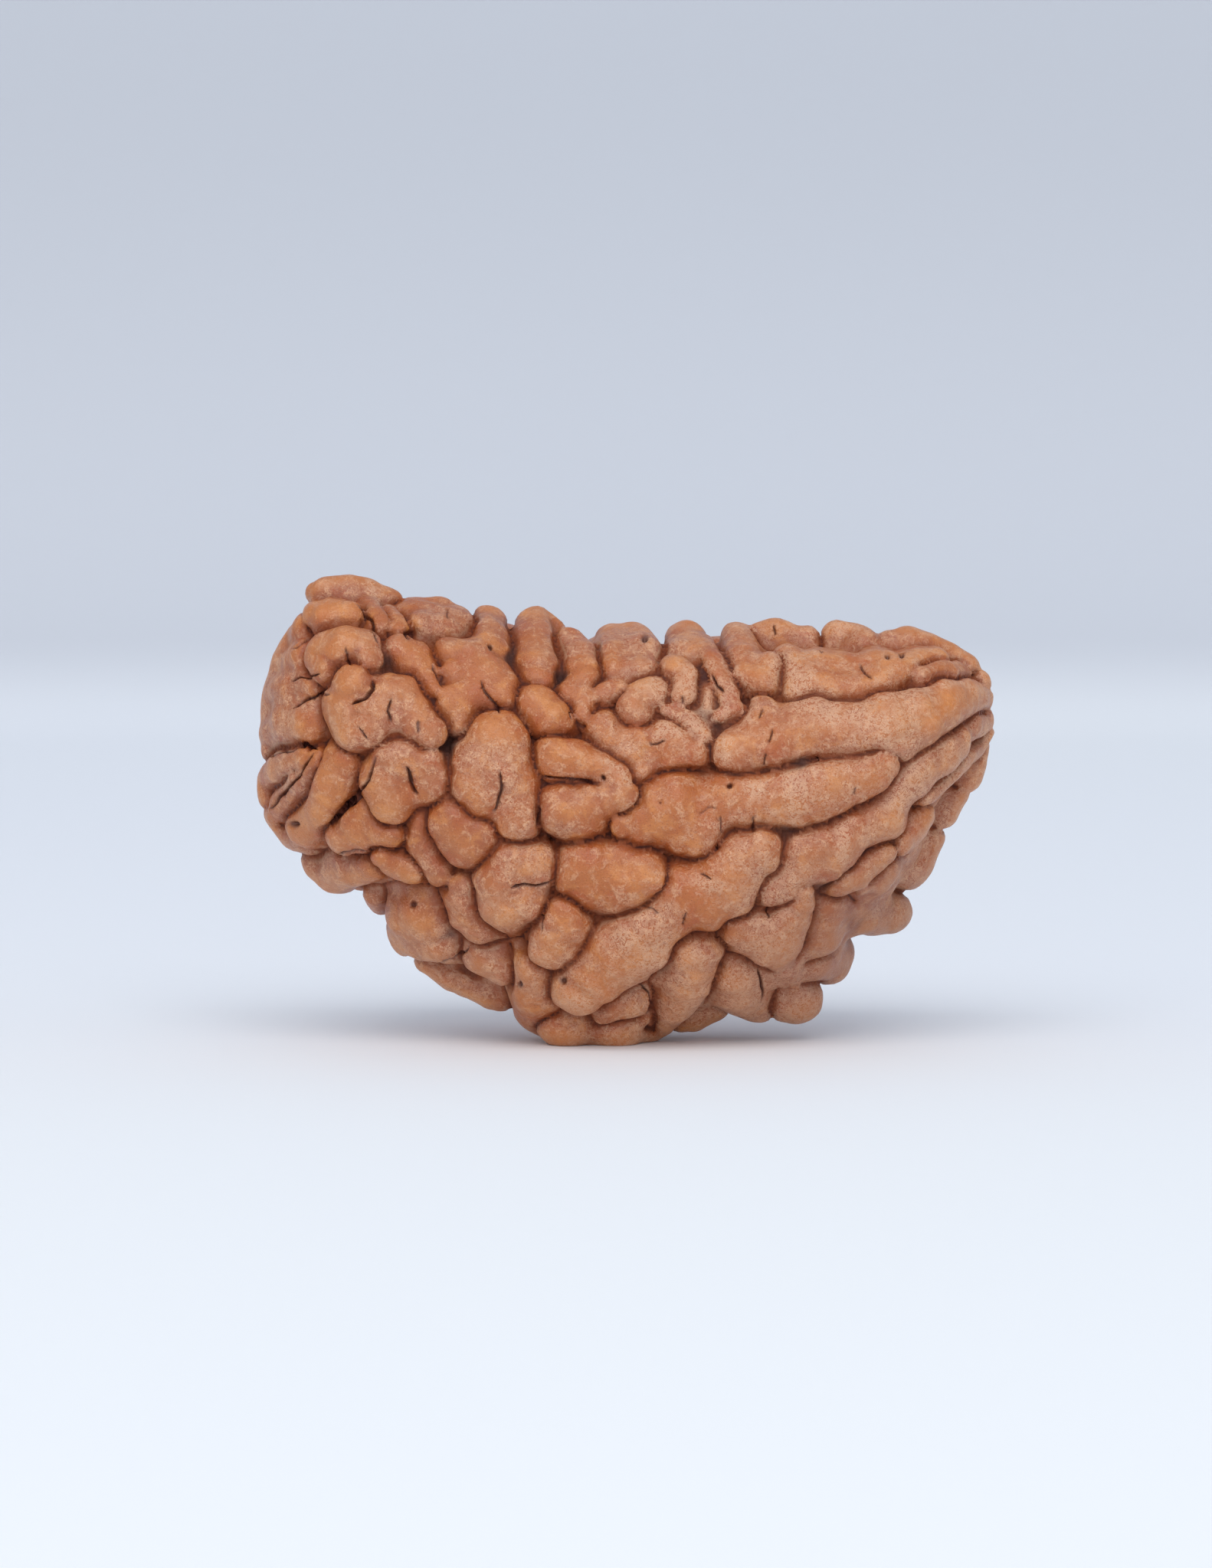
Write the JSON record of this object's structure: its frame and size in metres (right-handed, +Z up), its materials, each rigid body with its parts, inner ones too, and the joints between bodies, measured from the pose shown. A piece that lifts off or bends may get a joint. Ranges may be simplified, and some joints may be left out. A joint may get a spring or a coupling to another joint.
{
  "type": "rudraksha seed",
  "caption": "Half-moon rudraksha seed with deep brain-like lobes and long ridges, standing on a small flat spot.",
  "frame": {"origin": "middle of the bounding box at floor level, under the flat spot the seed stands on", "axes": "+X to the tapered end where the ridges meet, -Y to the front face of the picture, +Z up from the curved edge to the toothed edge"},
  "size_m": [0.03, 0.0128, 0.0191],
  "materials": {
    "seed_shell": "satin"
  },
  "bodies": {
    "root": {"seed": "seed_shell"}
  },
  "joints": []
}
